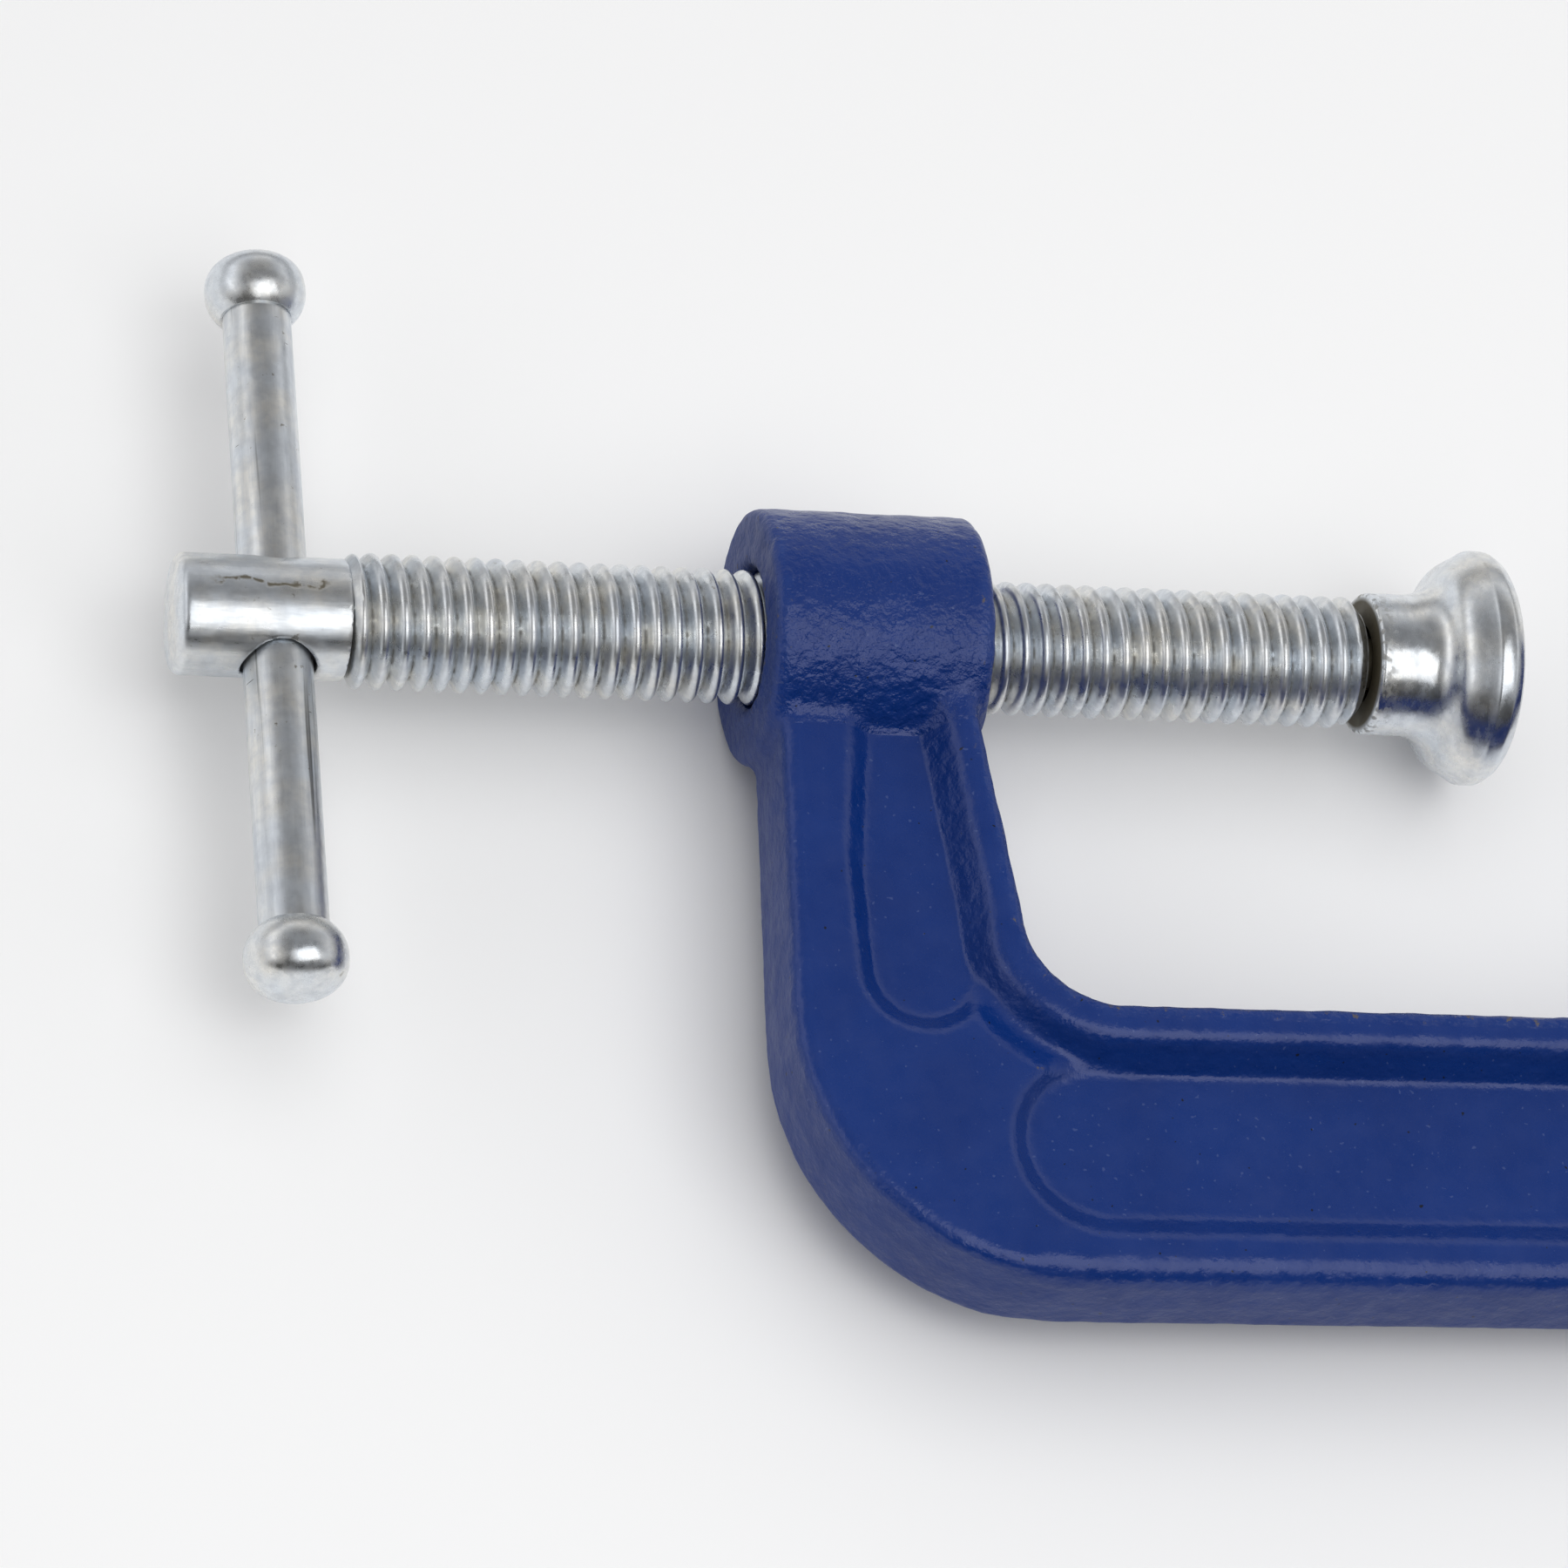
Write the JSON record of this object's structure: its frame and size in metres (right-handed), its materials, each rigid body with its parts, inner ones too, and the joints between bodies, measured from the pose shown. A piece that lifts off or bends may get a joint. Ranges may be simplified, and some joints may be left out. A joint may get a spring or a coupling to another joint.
{
  "type": "c clamp",
  "caption": "Cast C-frame screw clamp with a threaded spindle, a sliding tommy bar with ball ends and a swivelling pressure pad.",
  "frame": {"origin": "centre of the anvil's clamping face, on the screw axis", "axes": "+X along the screw, from the tommy bar to the anvil; +Y from the spine to the screw axis, in the plane of the frame; +Z square to the frame. The clamp lies on its side."},
  "size_m": [0.2437, 0.1355, 0.0308],
  "materials": {
    "enamel": "gloss blue enamel over a cast skin",
    "zinc_screw": "bright zinc plate",
    "zinc_bar": "bright zinc plate, drawn bar",
    "zinc_pad": "bright zinc plate, turned",
    "ring_steel": "oiled steel"
  },
  "bodies": {
    "frame": {"frame": "enamel"},
    "pad_carrier": {"pad_retaining_ring": "ring_steel"},
    "spindle": {"spindle": "zinc_screw"},
    "tommy_bar": {"tommy_bar": "zinc_bar", "tommy_ball_far": "zinc_bar", "tommy_ball_near": "zinc_bar"},
    "swivel_pad": {"swivel_pad": "zinc_pad"}
  },
  "joints": [
    {"name": "screw_travel", "type": "slide", "parent": "frame", "child": "pad_carrier", "axis": [1, 0, 0], "range_m": [-0.04875, 0.0465]},
    {"name": "screw_turn", "type": "hinge", "parent": "pad_carrier", "child": "spindle", "pos_m": [-0.057, 0, 0], "axis": [1, 0, 0], "range_deg": [-7020, 6696]},
    {"name": "bar_slide", "type": "slide", "parent": "spindle", "child": "tommy_bar", "axis": [0, 1, 0], "range_m": [-0.0305, 0.0305]},
    {"name": "pad_tilt", "type": "hinge", "parent": "pad_carrier", "child": "swivel_pad", "pos_m": [-0.057, 0, 0], "axis": [0, 0, 1], "range_deg": [-7, 7]}
  ],
  "couplings": [
    {"joint": "screw_travel", "follows": "screw_turn", "m_per_rad": 0.00039789}
  ]
}
